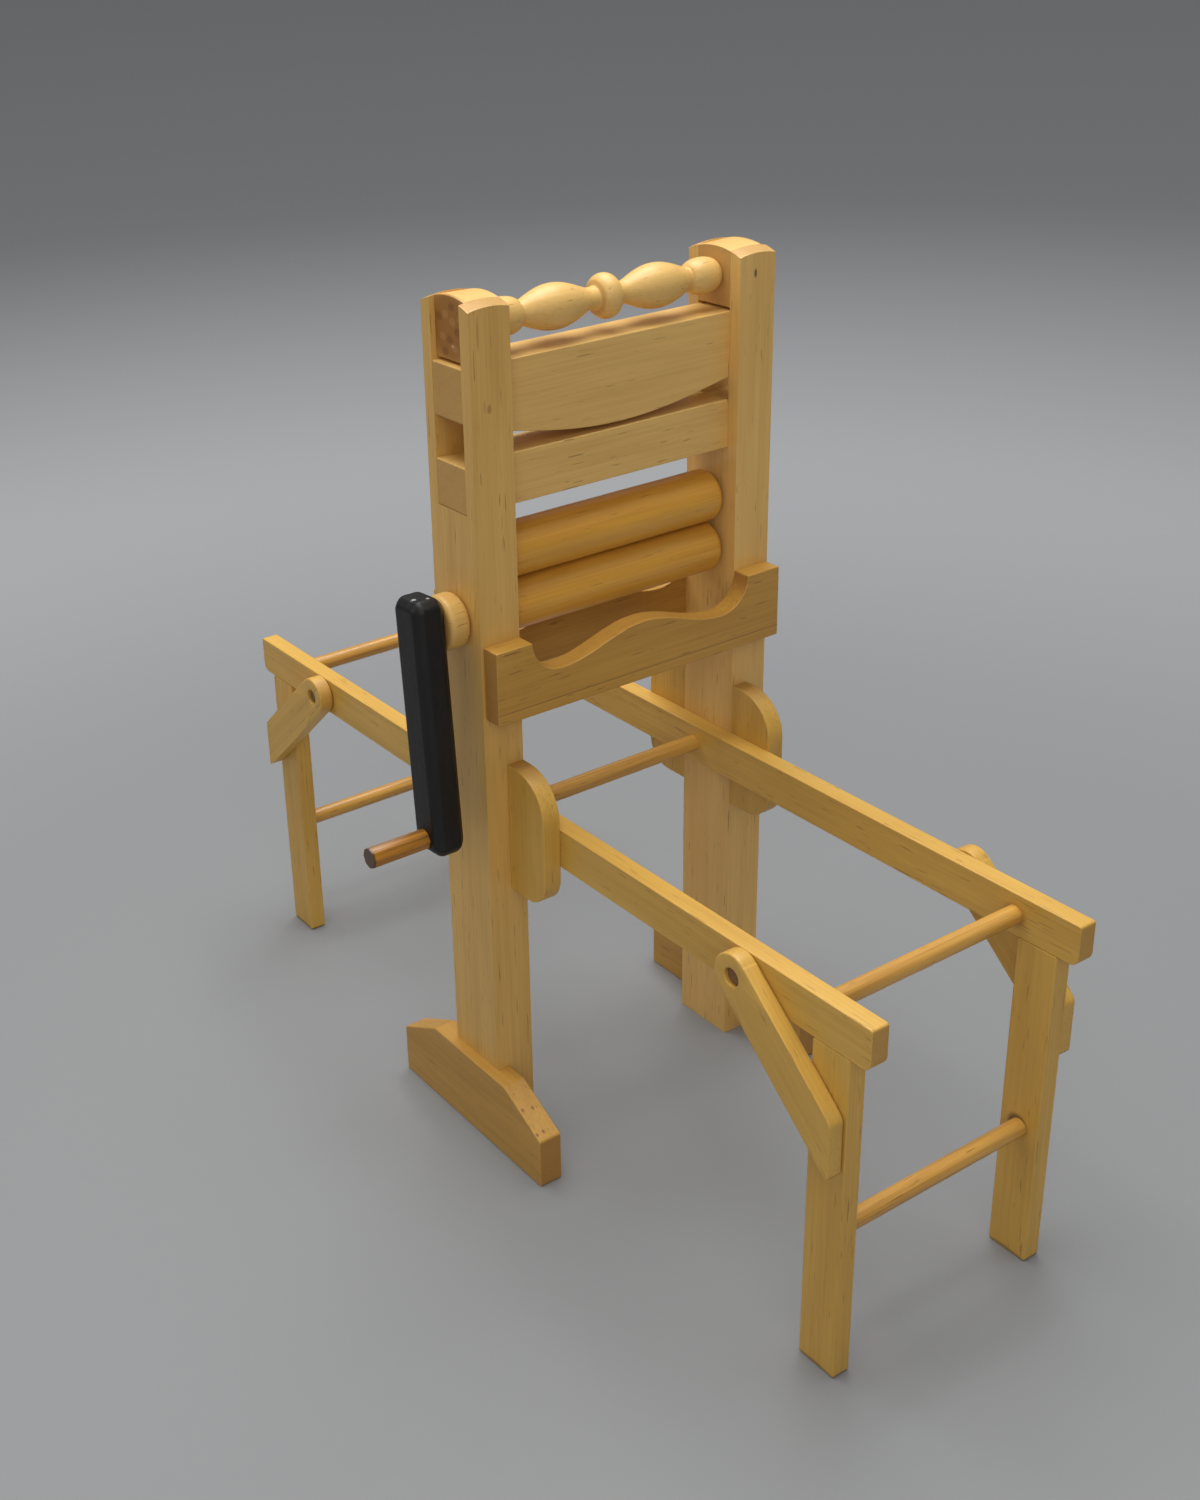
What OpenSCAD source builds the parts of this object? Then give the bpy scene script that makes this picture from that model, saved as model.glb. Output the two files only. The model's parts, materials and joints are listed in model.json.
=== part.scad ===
// Miniature laundry mangle with a fixed wash bench running through it.
// X runs along the rollers, -X is the crank side, -Y is the front, +Z is up.
// The origin is on the floor under the middle of the whole assembly.

/* [Uprights] */
// Height of an upright to the corners of its domed top
upright_h = 127; // [120:1:160]
// Thickness of an upright, along the rollers
upright_t = 6.4; // [5:0.1:9]
// Depth of an upright, front to back
upright_d = 10.8; // [9.5:0.1:14]
// Clear width between the uprights
throat_w = 38.6; // [30:0.2:60]
// Rise of the domed top above its corners
dome_h = 1.5; // [0.5:0.1:2.5]

/* [Feet] */
// Length of a foot, front to back
foot_l = 36.4; // [30:0.5:60]
// Height of a foot under its flat middle
foot_h = 12.6; // [8:0.2:18]
// Height of a foot at its two ends
foot_end_h = 8; // [3:0.2:12]
// Length of the flat middle of a foot
foot_flat_l = 18.6; // [13:0.5:30]
// Thickness of a foot
foot_t = 3.8; // [2.5:0.1:6]
// Depth of the lap that an upright has for its foot
foot_lap = 2.1; // [0.5:0.1:2.4]

/* [Bench] */
// Length of a rail, end to end
rail_l = 146.2; // [125:0.2:200]
// Height of a rail
rail_h = 6; // [4.5:0.1:8]
// Thickness of a rail, and of the leg under it
rail_t = 2.8; // [2.4:0.1:4]
// Height of a rail's top above the floor
rail_top_z = 55.2; // [45:0.5:65]
// Radius of the lower corner at a rail's end
rail_corner_r = 1.4; // [0.4:0.1:2]
// Width of a leg, along the rail
leg_w = 6.2; // [5.8:0.1:9]
// Distance from a rail's end to its leg
leg_setback = 3.2; // [1:0.1:6]

/* [Stretchers] */
// Diameter of the stretcher dowels
stretcher_d = 2.6; // [2:0.1:3]
// Distance from a rail's end to its upper stretcher
upper_stretcher_in = 10.2; // [10:0.1:14]
// Height of the lower stretchers above the floor
lower_stretcher_z = 21; // [10:0.5:28]
// Depth of the socket for a stretcher in a rail or a leg
socket_depth = 1.9; // [1:0.1:2.2]
// Depth of the centre stretcher's socket in an upright
centre_socket_depth = 3; // [1.5:0.1:4]

/* [Brackets] */
// Thickness of a bracket block
bracket_t = 2.8; // [2:0.1:4.5]
// Distance that a bracket block stands out from the upright
bracket_d = 8.4; // [6:0.1:12]
// Height of a bracket block
bracket_h = 20; // [14:0.2:28]
// Height of a bracket's middle above the rail's middle
bracket_lift = 0.7; // [0:0.1:2]
// Radius of a bracket's upper outer corner
bracket_upper_r = 6.4; // [2:0.1:7]
// Radius of a bracket's lower outer corner
bracket_lower_r = 4.4; // [2:0.1:6]

/* [Braces] */
// Distance of a brace's pivot from the rail's end
brace_pivot_in = 21.2; // [20:0.2:27]
// Slope of a brace below the rail
brace_angle = 41.5; // [36:0.5:46]
// Width of a brace
brace_w = 6.4; // [5:0.1:7.4]
// Thickness of a brace
brace_t = 2.3; // [1.8:0.1:3]
// Distance from the leg's outer edge to a brace's cut end
brace_end_in = 0.3; // [0.3:0.1:2]
// Diameter of a brace's peg
peg_d = 2.4; // [1.8:0.1:2.8]
// Depth of a peg in the rail
peg_depth = 2; // [1:0.1:2.3]
// Distance that a peg stays below the brace's face
peg_recess = 0.5; // [0.2:0.1:1]

/* [Rollers] */
// Diameter of a roller
roller_d = 7.7; // [6:0.1:9]
// Height of the lower roller's axis
roller_z = 84.3; // [80:0.1:90]
// Open gap between the two rollers
roller_gap = 0.1; // [0.1:0.05:0.5]
// Gap between a roller's end and an upright
roller_end_gap = 0.5; // [0.3:0.1:1]
// Chamfer at a roller's ends
roller_chamfer = 0.6; // [0.2:0.1:1]
// Diameter of both axles
axle_d = 3.2; // [2:0.1:3.6]
// Depth of an axle's blind bearing in an upright
bearing_depth = 4; // [2.5:0.1:4.5]

/* [Crank] */
// Diameter of the turned boss behind the crank arm
boss_d = 7.9; // [6:0.1:10]
// Length of the boss
boss_l = 3.3; // [2:0.1:6]
// Width of the crank arm
arm_w = 6.6; // [5.5:0.1:9]
// Thickness of the crank arm
arm_t = 5; // [4:0.1:7]
// Length of the arm above the axle
arm_above = 4.6; // [3.6:0.1:6]
// Length of the arm below the axle
arm_below = 33.1; // [26:0.1:40]
// Chamfer along the arm's edges
arm_chamfer = 1.1; // [0.3:0.1:1.5]
// Angle at which the arm hangs, its lower end forward
arm_tilt = 4; // [0:0.5:15]
// Diameter of the handle across its corners
handle_d = 3.1; // [2:0.1:4]
// Length of the handle outside the arm
handle_l = 9.2; // [6:0.1:20]
// Distance from the arm's lower end to the handle's axis
handle_up = 2.6; // [2.3:0.1:6]
// Depth of the axle's socket in the arm
arm_socket_depth = 3.5; // [2:0.1:3.8]
// Depth of the handle's socket in the arm
handle_grip = 3; // [1.5:0.1:3.6]
// Diameter of the handle's round shank inside the arm
shank_d = 2.8; // [2:0.1:3.6]

/* [Boards] */
// Thickness of both pressure boards
board_t = 6.8; // [5:0.1:7.4]
// Height of the floor of the slots
slot_z = 99.8; // [98:0.1:110]
// Height of the lower board
lower_board_h = 7.1; // [5:0.1:9]
// Height of the lower board's tenons
lower_tenon_h = 6.5; // [4:0.1:8]
// Height of the upper board at its ends
upper_board_h = 9.4; // [6:0.1:12]
// Extra height of the upper board's belly at mid length
board_belly = 2.5; // [0:0.1:4]
// Height of the upper board's tenons
upper_tenon_h = 7.3; // [4:0.1:9]
// Gap between the two boards at the belly
board_gap = 0.7; // [0.2:0.1:4]

/* [Spindle] */
// Gap between the upper board and the spindle's square ends
spindle_gap = 0.4; // [0.1:0.1:2]
// Distance from the spindle's square end to the upright's face
spindle_end_in = 0.8; // [0:0.1:2]
// Radius of the two long swells
swell_r = 3.1; // [2.2:0.1:3.4]
// Radius of the middle bead
bead_r = 3.1; // [2.2:0.1:3.4]
// Radius of the ball at each end
ball_r = 2.6; // [2:0.1:3.2]
// Length of the ball at each end
ball_l = 5; // [3:0.1:6]
// Radius of the necks
neck_r = 1.55; // [1:0.05:2]
// Half length of the middle bead
bead_half = 1.7; // [1:0.1:2.4]
// Distance from the middle to where a swell begins
neck_half = 3; // [2.6:0.1:5]

/* [Aprons] */
// Height of an apron at its end blocks
apron_h = 10.8; // [8:0.1:14]
// Height of an apron's lower edge above the floor
apron_z = 70.8; // [66:0.1:76]
// Thickness of an apron
apron_t = 3.1; // [2:0.1:5]
// Distance from an apron's end to the upright's outer face
apron_end_in = 0.4; // [0:0.1:2]
// Radius of the cove beside each end block
cove_r = 4.9; // [2:0.1:6]
// Rise of the middle hump above the coves
hump_h = 3; // [0.5:0.1:5]

/* [Clearances] */
// Radial clearance of the axles in the uprights
running_clear = 0.06; // [0.03:0.01:0.1]
// Radial clearance of a brace on its peg
pivot_clear = 0.06; // [0.03:0.01:0.1]
// Side gap between a moving piece and what it turns beside
side_gap = 0.15; // [0.1:0.05:0.4]

/* [Hidden] */
$fn = 64;

post_in = throat_w / 2;
post_out = post_in + upright_t;
post_mid = post_in + upright_t / 2;
post_face = upright_d / 2;
foot_out = post_out - foot_lap + foot_t;
half_diagonal = sqrt(pow(upright_t / 2, 2) + pow(post_face, 2));
dome_r = (pow(half_diagonal, 2) + pow(dome_h, 2)) / (2 * dome_h);

rail_end = rail_l / 2;
rail_bottom = rail_top_z - rail_h;
rail_mid = rail_top_z - rail_h / 2;
rail_in = post_in - rail_t;
leg_out = rail_end - leg_setback;
leg_mid = leg_out - leg_w / 2;
upper_stretcher_y = rail_end - upper_stretcher_in;
bracket_z = rail_mid + bracket_lift - bracket_h / 2;

brace_x = post_in + side_gap;
brace_pivot_y = rail_end - brace_pivot_in;
brace_end_y = leg_out - brace_end_in;
nose_extra = 0.05;
brace_nose_r = brace_w / 2 + nose_extra;

upper_roller_z = roller_z + roller_d + roller_gap;
roller_half = post_in - roller_end_gap;
bearing_r = axle_d / 2 + running_clear;
axle_end = post_in + bearing_depth - side_gap;
boss_x = post_out + side_gap;
arm_x = boss_x + boss_l;
arm_out = arm_x + arm_t;
handle_end = arm_out + handle_l;
handle_z = handle_up - arm_below;

lower_board_top = slot_z + lower_board_h;
upper_board_low = lower_board_top + board_gap + board_belly;
upper_board_top = upper_board_low + upper_board_h;
spindle_bottom = upper_board_top + spindle_gap;
spindle_z = (spindle_bottom + upright_h + dome_h) / 2;

swell_power = 1.15;
swell_end = post_in - ball_l;
ball_half = ball_l / 2;
ball_mid = post_in - ball_half;
turning_steps = 72;
belly_steps = 24;

apron_half = post_out - apron_end_in;
cove_z = apron_z + apron_h - cove_r;
wave_half = post_in - cove_r;
wave_steps = 32;

frame_x = (handle_end - foot_out) / 2;
tiny = 0.5;

pine = "#d9b872";
amber = "#c08a3e";
walnut = "#8a5a2b";

// Moves the frame's middle so that the origin is under the whole assembly.
module placed() {
  translate([frame_x, 0, 0]) children();
}

// A left piece mirrored to the right when side is 1.
module on_side(side) {
  mirror([side > 0 ? 1 : 0, 0, 0]) children();
}

// A front piece mirrored to the rear when end is 1.
module on_end(end) {
  mirror([0, end > 0 ? 1 : 0, 0]) children();
}

// A piece drawn towards the rear, mirrored to the front when end is 0.
module from_rear(end) {
  on_end(1 - end) children();
}

// A rod along X from x0 to x1.
module rod(x0, x1, d) {
  translate([x0, 0, 0]) rotate([0, 90, 0]) cylinder(d = d, h = x1 - x0);
}

// What a square corner loses when it is rounded to radius r.
module corner_waste(r) {
  difference() {
    translate([-tiny, -tiny]) square(r + tiny);
    translate([r, r]) circle(r = r);
  }
}

// The domed shape that ends an upright and the spindle's square ends.
module dome_limit() {
  translate([-post_mid, 0, upright_h + dome_h - dome_r]) sphere(r = dome_r, $fn = 128);
}

module upright_blank() {
  intersection() {
    translate([-post_out, -post_face, 0]) cube([upright_t, upright_d, upright_h + dome_h]);
    union() {
      dome_limit();
      translate([-post_out, -post_face, 0]) cube([upright_t, upright_d, upright_h - 2 * dome_h]);
    }
  }
}

// The foot's outline, seen from the side.
module foot_outline() {
  polygon([
    [-foot_l / 2, 0], [foot_l / 2, 0], [foot_l / 2, foot_end_h],
    [foot_flat_l / 2, foot_h], [-foot_flat_l / 2, foot_h], [-foot_l / 2, foot_end_h]
  ]);
}

module foot() {
  translate([-foot_out, 0, 0])
    rotate([90, 0, 90]) linear_extrude(foot_t) foot_outline();
}

module upright(through) {
  difference() {
    upright_blank();
    translate([-post_out - tiny, -board_t / 2, slot_z])
      cube([upright_t + 2 * tiny, board_t, upright_h]);
    translate([-post_out - tiny, -post_face - tiny, -tiny])
      cube([foot_lap + tiny, upright_d + 2 * tiny, foot_h + tiny]);
    translate([0, 0, roller_z])
      rod(through ? -post_out - tiny : -post_in - bearing_depth, -post_in + tiny, 2 * bearing_r);
    translate([0, 0, upper_roller_z])
      rod(-post_in - bearing_depth, -post_in + tiny, 2 * bearing_r);
    translate([0, 0, rail_mid])
      rod(-post_in - centre_socket_depth, -post_in + tiny, stretcher_d);
  }
}

module left_upright() { color(pine) upright(true); }
module right_upright() { color(pine) on_side(1) upright(false); }
module left_foot() { color(pine) foot(); }
module right_foot() { color(pine) on_side(1) foot(); }

// Radius of the turned spindle at distance x from its middle.
function swell_at(u) = neck_r + (swell_r - neck_r) * pow(sin(180 * u), swell_power);
function round_at(v, r) = neck_r + (r - neck_r) * sqrt(max(0, 1 - v * v));
function turned_r(x) =
  x < bead_half ? round_at(x / bead_half, bead_r) :
  x < neck_half ? neck_r :
  x < swell_end ? swell_at((x - neck_half) / (swell_end - neck_half)) :
  round_at((x - ball_mid) / ball_half, ball_r);
module top_spindle() {
  outline = [
    for (i = [0 : turning_steps])
      let (x = -post_in + i * throat_w / turning_steps) [turned_r(abs(x)), x]
  ];
  color(pine) {
    translate([0, 0, spindle_z]) rotate([0, 90, 0])
      rotate_extrude() polygon(concat([[0, -post_in]], outline, [[0, post_in]]));
    for (side = [0, 1]) on_side(side) intersection() {
      dome_limit();
      translate([-post_out + spindle_end_in, -board_t / 2, spindle_bottom])
        cube([upright_t - spindle_end_in, board_t, upright_h]);
    }
  }
}

// A board's outline is given in X and Z, and it is centred front to back.
module board(t) {
  translate([0, t / 2, 0]) rotate([90, 0, 0]) linear_extrude(t) children();
}

module upper_board() {
  belly = [
    for (i = [0 : belly_steps])
      let (x = -post_in + i * throat_w / belly_steps)
        [x, upper_board_low - board_belly * cos(90 * x / post_in)]
  ];
  color(pine) board(board_t) {
    polygon(concat(belly, [[post_in, upper_board_top], [-post_in, upper_board_top]]));
    translate([-post_out, upper_board_top - upper_tenon_h]) square([2 * post_out, upper_tenon_h]);
  }
}

module lower_board() {
  color(pine) board(board_t) {
    translate([-post_in, slot_z]) square([throat_w, lower_board_h]);
    translate([-post_out, slot_z]) square([2 * post_out, lower_tenon_h]);
  }
}

// Height of the wave between the two coves at distance x from the middle.
function wave_z(x) = cove_z + hump_h * (1 + cos(180 * x / wave_half)) / 2;

module apron_outline() {
  wave = [
    for (i = [0 : wave_steps])
      let (x = wave_half - i * 2 * wave_half / wave_steps) [x, wave_z(x)]
  ];
  polygon(concat([[-wave_half, apron_z], [wave_half, apron_z]], wave));
  for (side = [0, 1]) mirror([side, 0]) difference() {
    translate([wave_half, apron_z]) square([apron_half - wave_half, apron_h]);
    translate([wave_half, cove_z + cove_r]) circle(r = cove_r);
  }
}

module apron(end) {
  color(pine) on_end(end)
    translate([0, -post_face, 0]) rotate([90, 0, 0]) linear_extrude(apron_t) apron_outline();
}

module rail() {
  difference() {
    translate([-post_in, -rail_end, rail_bottom]) cube([rail_t, rail_l, rail_h]);
    for (end = [0, 1]) on_end(end) {
      translate([-post_in - tiny, -rail_end, rail_bottom]) rotate([90, 0, 90])
        linear_extrude(rail_t + 2 * tiny) corner_waste(rail_corner_r);
      translate([0, -upper_stretcher_y, rail_mid])
        rod(-rail_in - socket_depth, -rail_in + tiny, stretcher_d);
      translate([0, -brace_pivot_y, rail_mid])
        rod(-post_in - tiny, -post_in + peg_depth, peg_d);
    }
    translate([0, 0, rail_mid]) rod(-post_in - tiny, -rail_in + tiny, stretcher_d);
  }
}

module left_rail() { color(pine) rail(); }
module right_rail() { color(pine) on_side(1) rail(); }

module bracket_outline() {
  difference() {
    square([bracket_d, bracket_h]);
    translate([bracket_d, 0]) mirror([1, 0]) corner_waste(bracket_lower_r);
    translate([bracket_d, bracket_h]) mirror([1, 0]) mirror([0, 1]) corner_waste(bracket_upper_r);
  }
}

module bracket(side, end) {
  color(pine) on_side(side) from_rear(end)
    translate([-post_in - bracket_t, post_face, bracket_z])
      rotate([90, 0, 90]) linear_extrude(bracket_t) bracket_outline();
}

module leg(side, end) {
  color(pine) on_side(side) on_end(end) difference() {
    translate([-post_in, -leg_out, 0]) cube([rail_t, leg_w, rail_bottom]);
    translate([0, -leg_mid, lower_stretcher_z])
      rod(-rail_in - socket_depth, -rail_in + tiny, stretcher_d);
  }
}

module stretcher(y, z, half) {
  color(amber) translate([0, y, z]) rod(-half, half, stretcher_d);
}

// A brace with its pivot at the origin, its lower end cut upright.
module brace_outline() {
  reach = brace_end_y - brace_pivot_y;
  strip_l = reach / cos(brace_angle) + brace_w;
  difference() {
    rotate(-brace_angle) intersection() {
      translate([-brace_w, -brace_w / 2]) square([strip_l + brace_w, brace_w]);
      union() {
        circle(r = brace_nose_r);
        translate([0, -brace_w]) square([strip_l, 2 * brace_w]);
      }
    }
    translate([reach, -2 * reach]) square([2 * reach, 3 * reach]);
  }
}

module brace(side, end) {
  color(pine) on_side(side) from_rear(end)
    translate([-brace_x - brace_t, brace_pivot_y, rail_mid]) rotate([90, 0, 90])
      linear_extrude(brace_t) difference() {
        brace_outline();
        circle(r = peg_d / 2 + pivot_clear);
      }
}

module brace_pegs() {
  color(walnut) for (side = [0, 1], end = [0, 1]) on_side(side) on_end(end)
    translate([0, -brace_pivot_y, rail_mid])
      rod(-brace_x - brace_t + peg_recess, -post_in + peg_depth, peg_d);
}

module roller(z) {
  color(amber) translate([0, 0, z]) difference() {
    rotate([0, 90, 0]) rotate_extrude() polygon([
      [0, -roller_half], [roller_d / 2 - roller_chamfer, -roller_half],
      [roller_d / 2, -roller_half + roller_chamfer], [roller_d / 2, roller_half - roller_chamfer],
      [roller_d / 2 - roller_chamfer, roller_half], [0, roller_half]
    ]);
    rod(-roller_half - tiny, roller_half + tiny, axle_d);
  }
}

module crank_axle() {
  color(walnut) translate([0, 0, roller_z]) rod(-arm_x - arm_socket_depth, axle_end, axle_d);
}

module upper_axle() {
  color(walnut) translate([0, 0, upper_roller_z]) rod(-axle_end, axle_end, axle_d);
}

module crank_boss() {
  color(pine) translate([0, 0, roller_z]) difference() {
    rod(-arm_x, -boss_x, boss_d);
    rod(-arm_x - tiny, -boss_x + tiny, axle_d);
  }
}

// Turns a piece with the crank, whose arm hangs a little forward.
module hanging() {
  translate([0, 0, roller_z]) rotate([-arm_tilt, 0, 0]) children();
}

// The arm's bar lies along Z with every edge planed to a chamfer.
module planed_bar(t, w, h, c) {
  intersection() {
    linear_extrude(h) polygon([
      [c, 0], [t - c, 0], [t, c], [t, w - c], [t - c, w], [c, w], [0, w - c], [0, c]
    ]);
    translate([0, w, 0]) rotate([90, 0, 0]) linear_extrude(w) polygon([
      [c, 0], [t - c, 0], [t, c], [t, h - c], [t - c, h], [c, h], [0, h - c], [0, c]
    ]);
    rotate([90, 0, 90]) linear_extrude(t) polygon([
      [c, 0], [w - c, 0], [w, c], [w, h - c], [w - c, h], [c, h], [0, h - c], [0, c]
    ]);
  }
}

module crank_arm() {
  color("#1d1d1f") hanging() difference() {
    translate([-arm_out, -arm_w / 2, -arm_below])
      planed_bar(arm_t, arm_w, arm_above + arm_below, arm_chamfer);
    rod(-arm_x - arm_socket_depth, -arm_x + tiny, axle_d);
    translate([0, 0, handle_z]) rod(-arm_out - tiny, -arm_out + handle_grip, shank_d);
  }
}

// The handle is whittled to eight flats outside the arm and round inside it.
module crank_handle() {
  color(amber) hanging() translate([0, 0, handle_z]) {
    translate([-handle_end, 0, 0]) rotate([0, 90, 0])
      cylinder(d = handle_d, h = handle_l, $fn = 8);
    rod(-arm_out, -arm_out + handle_grip, shank_d);
  }
}

placed() left_upright();
placed() right_upright();
placed() left_foot();
placed() right_foot();
placed() top_spindle();
placed() upper_board();
placed() lower_board();
placed() apron(0);  // front_apron
placed() apron(1);  // rear_apron
placed() left_rail();
placed() right_rail();
placed() bracket(0, 0);  // left_front_bracket
placed() bracket(1, 0);  // right_front_bracket
placed() bracket(0, 1);  // left_rear_bracket
placed() bracket(1, 1);  // right_rear_bracket
placed() leg(0, 0);  // left_front_leg
placed() leg(1, 0);  // right_front_leg
placed() leg(0, 1);  // left_rear_leg
placed() leg(1, 1);  // right_rear_leg
placed() stretcher(0, rail_mid, post_in + centre_socket_depth);  // centre_stretcher
placed() stretcher(-upper_stretcher_y, rail_mid, rail_in + socket_depth);  // front_upper_stretcher
placed() stretcher(upper_stretcher_y, rail_mid, rail_in + socket_depth);  // rear_upper_stretcher
placed() stretcher(-leg_mid, lower_stretcher_z, rail_in + socket_depth);  // front_lower_stretcher
placed() stretcher(leg_mid, lower_stretcher_z, rail_in + socket_depth);  // rear_lower_stretcher
placed() brace(0, 0);  // left_front_brace
placed() brace(1, 0);  // right_front_brace
placed() brace(0, 1);  // left_rear_brace
placed() brace(1, 1);  // right_rear_brace
placed() brace_pegs();
placed() roller(roller_z);  // lower_roller
placed() crank_axle();
placed() crank_boss();
placed() crank_arm();
placed() crank_handle();
placed() roller(upper_roller_z);  // upper_roller
placed() upper_axle();
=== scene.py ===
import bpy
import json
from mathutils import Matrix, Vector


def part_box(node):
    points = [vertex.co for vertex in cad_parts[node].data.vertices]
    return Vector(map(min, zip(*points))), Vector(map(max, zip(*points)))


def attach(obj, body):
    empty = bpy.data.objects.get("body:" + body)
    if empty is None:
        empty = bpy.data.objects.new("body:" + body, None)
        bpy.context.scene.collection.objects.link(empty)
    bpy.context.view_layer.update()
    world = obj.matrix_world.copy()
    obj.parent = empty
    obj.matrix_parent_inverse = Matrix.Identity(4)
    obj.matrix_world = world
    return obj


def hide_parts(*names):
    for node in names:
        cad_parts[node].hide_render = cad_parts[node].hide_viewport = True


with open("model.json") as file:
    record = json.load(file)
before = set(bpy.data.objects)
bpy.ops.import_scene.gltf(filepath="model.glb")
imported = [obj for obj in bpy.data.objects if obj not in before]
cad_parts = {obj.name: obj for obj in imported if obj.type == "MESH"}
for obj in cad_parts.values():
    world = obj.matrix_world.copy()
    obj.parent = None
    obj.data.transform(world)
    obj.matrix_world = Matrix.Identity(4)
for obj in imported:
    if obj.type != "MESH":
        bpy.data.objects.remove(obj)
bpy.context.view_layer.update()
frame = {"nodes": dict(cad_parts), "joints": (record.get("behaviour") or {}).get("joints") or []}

import json
import math

import bmesh
import bpy
import numpy as np
from mathutils import Matrix, Vector

mm = 0.001
tau = 2 * math.pi
joints = {joint["name"]: joint for joint in frame["joints"]}
print("frame loaded:", len(frame["nodes"]), "nodes")


class Wire:
    # one socket of a node tree, on which arithmetic adds Math nodes
    def __init__(self, tree, socket):
        self.tree, self.socket = tree, socket

    def math(self, operation, *others):
        return put(self.tree, "ShaderNodeMath", {"operation": operation},
                   dict(enumerate([self, *others])))

    def __add__(self, other): return self.math("ADD", other)
    def __radd__(self, other): return self.math("ADD", other)
    def __sub__(self, other): return self.math("SUBTRACT", other)
    def __mul__(self, other): return self.math("MULTIPLY", other)
    def __rmul__(self, other): return self.math("MULTIPLY", other)
    def __pow__(self, other): return self.math("POWER", other)
    def __abs__(self): return self.math("ABSOLUTE")

    def __rsub__(self, other):
        return put(self.tree, "ShaderNodeMath", {"operation": "SUBTRACT"}, {0: other, 1: self})


def put(tree, kind, settings=None, inputs=None, out=0):
    # adds a node: its settings first, then a value or a link on each input
    made = tree.nodes.new(kind)
    for key, value in (settings or {}).items():
        setattr(made, key, value)
    for key, value in (inputs or {}).items():
        if isinstance(value, Wire):
            tree.links.new(value.socket, made.inputs[key])
        else:
            made.inputs[key].default_value = value
    return Wire(tree, made.outputs[out]) if made.outputs else None


def rgba(c):
    return (c[0], c[1], c[2], 1.0)


def blendColour(tree, amount, first, second):
    return put(tree, "ShaderNodeMix", {"data_type": "RGBA", "clamp_factor": True},
               {0: amount, 6: first, 7: second}, out=2)


def between(tree, value, low, high):
    # 0 below low, 1 above high, smooth in between
    return put(tree, "ShaderNodeMapRange", {"interpolation_type": "SMOOTHSTEP"},
               {"Value": value, "From Min": low, "From Max": high})


def stretched(tree, place, scale):
    return put(tree, "ShaderNodeVectorMath", {"operation": "MULTIPLY"}, {0: place, 1: scale})


def distance(tree, vector):
    return put(tree, "ShaderNodeVectorMath", {"operation": "LENGTH"}, {0: vector}, out=1)


def noise(tree, place, scale, detail=2.0, rough=0.5):
    return put(tree, "ShaderNodeTexNoise", {}, {"Vector": stretched(tree, place, scale),
               "Scale": 1.0, "Detail": detail, "Roughness": rough})


def millimetres(tree):
    return stretched(tree, put(tree, "ShaderNodeTexCoord", out="Object"), [1 / mm] * 3)


def spotMask(tree, raw, centre, size):
    # 1 inside an ellipsoid of that centre and half size in millimetres, fading at its rim
    away = put(tree, "ShaderNodeVectorMath", {"operation": "SUBTRACT"}, {0: raw, 1: centre})
    return 1 - between(tree, distance(tree, stretched(tree, away, [1 / s for s in size])), 0.55, 1.0)


def newTree(name):
    material = bpy.data.materials.new(name)
    material.use_nodes = True
    material.node_tree.nodes.clear()
    return material, material.node_tree


def finishTree(tree, colour, roughness, height, bumpDepth, fixed):
    bump = put(tree, "ShaderNodeBump", {}, {"Strength": 1.0, "Distance": bumpDepth, "Height": height})
    shader = put(tree, "ShaderNodeBsdfPrincipled", {},
                 {"Base Color": colour, "Roughness": roughness, "Normal": bump, **fixed})
    put(tree, "ShaderNodeOutputMaterial", {}, {"Surface": shader})


# wood finishes: colours are linear, ringGap and bump are millimetres

paleWood = dict(light=(0.76, 0.46, 0.125), dark=(0.55, 0.295, 0.062), end=(0.44, 0.225, 0.055),
                fleck=(0.26, 0.115, 0.03), fleckAmount=0.6, ringGap=2.3, ringAmount=0.12,
                fibreAmount=0.30, blotchAmount=0.38, roughness=0.45, coat=0.07, bump=0.014)
creamWood = dict(paleWood, light=(0.83, 0.52, 0.16), dark=(0.62, 0.35, 0.09))
honeyWood = dict(paleWood, light=(0.70, 0.415, 0.08), dark=(0.50, 0.26, 0.038))
russetWood = dict(paleWood, light=(0.58, 0.315, 0.055), dark=(0.41, 0.19, 0.028),
                  end=(0.38, 0.165, 0.035), fleckAmount=0.8)
amberWood = dict(paleWood, light=(0.66, 0.355, 0.07), dark=(0.36, 0.155, 0.025),
                 end=(0.17, 0.075, 0.025), fleckAmount=0.7, fibreAmount=0.62, ringAmount=0.08,
                 roughness=0.31, coat=0.3)
rollerWood = dict(paleWood, light=(0.74, 0.375, 0.05), dark=(0.50, 0.215, 0.022),
                  end=(0.28, 0.115, 0.02), fleckAmount=0.4, fibreAmount=0.26, ringAmount=0.06,
                  roughness=0.33)
handleWood = dict(amberWood, light=(0.47, 0.195, 0.02), dark=(0.10, 0.034, 0.005), fibreAmount=1.1,
                  roughness=0.27, coat=0.15)
darkPeg = dict(paleWood, light=(0.26, 0.13, 0.042), dark=(0.12, 0.055, 0.018),
               end=(0.24, 0.12, 0.045), fleckAmount=0.5, roughness=0.55, coat=0.03)

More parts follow.
